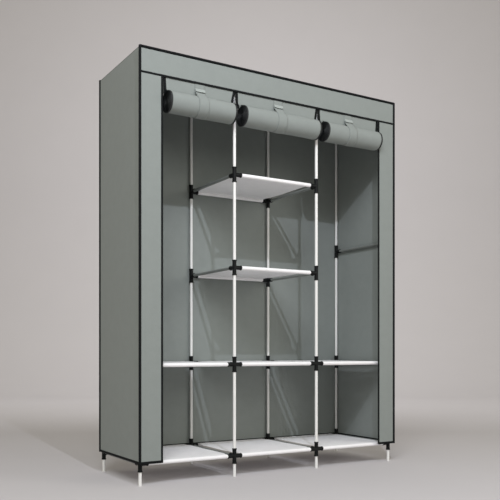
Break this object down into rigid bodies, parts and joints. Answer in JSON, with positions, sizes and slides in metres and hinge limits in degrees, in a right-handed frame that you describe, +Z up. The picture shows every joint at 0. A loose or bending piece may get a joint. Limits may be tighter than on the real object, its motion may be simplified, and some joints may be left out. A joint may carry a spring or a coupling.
{
  "type": "portable fabric wardrobe",
  "caption": "Free-standing fabric wardrobe: a push-fit tube frame with cloth shelves and hanging rails under a cloth cover with roll-up doors.",
  "frame": {"origin": "on the floor, under the middle of the whole outline at rest", "axes": "+Z up, the open front faces -Y, +X runs along the front, to the right of someone who faces it"},
  "size_m": [1.303, 0.4822, 1.7065],
  "materials": {
    "cover_cloth": "matte",
    "piping": "matte",
    "shelf_cloth": "matte",
    "tube": "satin",
    "connector": "satin"
  },
  "bodies": {
    "root": {"front_post_1": "tube", "front_post_2": "tube", "front_post_3": "tube", "front_post_4": "tube", "back_post_1": "tube", "back_post_2": "tube", "back_post_3": "tube", "back_post_4": "tube", "floor_rung_1": "connector", "floor_rung_2": "connector", "floor_rung_3": "connector", "floor_rung_4": "connector", "lower_rung_1": "connector", "lower_rung_2": "connector", "lower_rung_3": "connector", "lower_rung_4": "connector", "middle_rung_2": "connector", "middle_rung_3": "connector", "side_rung_1": "connector", "side_rung_4": "connector", "upper_rung_2": "connector", "upper_rung_3": "connector", "top_rung_1": "connector", "top_rung_2": "connector", "top_rung_3": "connector", "top_rung_4": "connector", "floor_shelf_left": "shelf_cloth", "floor_shelf_middle": "shelf_cloth", "floor_shelf_right": "shelf_cloth", "lower_shelf_left": "shelf_cloth", "lower_shelf_middle": "shelf_cloth", "lower_shelf_right": "shelf_cloth", "middle_shelf": "shelf_cloth", "upper_shelf": "shelf_cloth", "top_rail_front": "tube", "top_rail_back": "tube", "hanging_rail_left": "tube", "hanging_rail_right": "tube", "cover_top": "cover_cloth", "cover_back": "cover_cloth", "cover_side_left": "cover_cloth", "cover_side_right": "cover_cloth", "cover_header": "cover_cloth", "cover_jamb_left": "cover_cloth", "cover_jamb_right": "cover_cloth", "cover_piping": "piping", "door_left_drop": "cover_cloth", "door_left_strap": "cover_cloth", "door_middle_drop": "cover_cloth", "door_middle_strap": "cover_cloth", "door_right_drop": "cover_cloth", "door_right_strap": "cover_cloth"},
    "door_left": {"door_left_roll": "cover_cloth"},
    "hem_left": {"door_left_hem": "piping"},
    "door_middle": {"door_middle_roll": "cover_cloth"},
    "hem_middle": {"door_middle_hem": "piping"},
    "door_right": {"door_right_roll": "cover_cloth"},
    "hem_right": {"door_right_hem": "piping"}
  },
  "joints": [
    {"name": "door_left_unroll", "type": "slide", "parent": "root", "child": "door_left", "axis": [0, 0, -1], "range_m": [0, 1.378], "deforming": ["door_left_roll", "door_left_drop", "door_left_strap"]},
    {"name": "hem_left_drop", "type": "slide", "parent": "root", "child": "hem_left", "axis": [0, 0, -1], "range_m": [0, 1.42]},
    {"name": "door_middle_unroll", "type": "slide", "parent": "root", "child": "door_middle", "axis": [0, 0, -1], "range_m": [0, 1.378], "deforming": ["door_middle_roll", "door_middle_drop", "door_middle_strap"]},
    {"name": "hem_middle_drop", "type": "slide", "parent": "root", "child": "hem_middle", "axis": [0, 0, -1], "range_m": [0, 1.42]},
    {"name": "door_right_unroll", "type": "slide", "parent": "root", "child": "door_right", "axis": [0, 0, -1], "range_m": [0, 1.378], "deforming": ["door_right_roll", "door_right_drop", "door_right_strap"]},
    {"name": "hem_right_drop", "type": "slide", "parent": "root", "child": "hem_right", "axis": [0, 0, -1], "range_m": [0, 1.42]}
  ],
  "couplings": [
    {"joint": "hem_left_drop", "follows": "door_left_unroll", "ratio": 1.03},
    {"joint": "hem_middle_drop", "follows": "door_middle_unroll", "ratio": 1.03},
    {"joint": "hem_right_drop", "follows": "door_right_unroll", "ratio": 1.03}
  ]
}
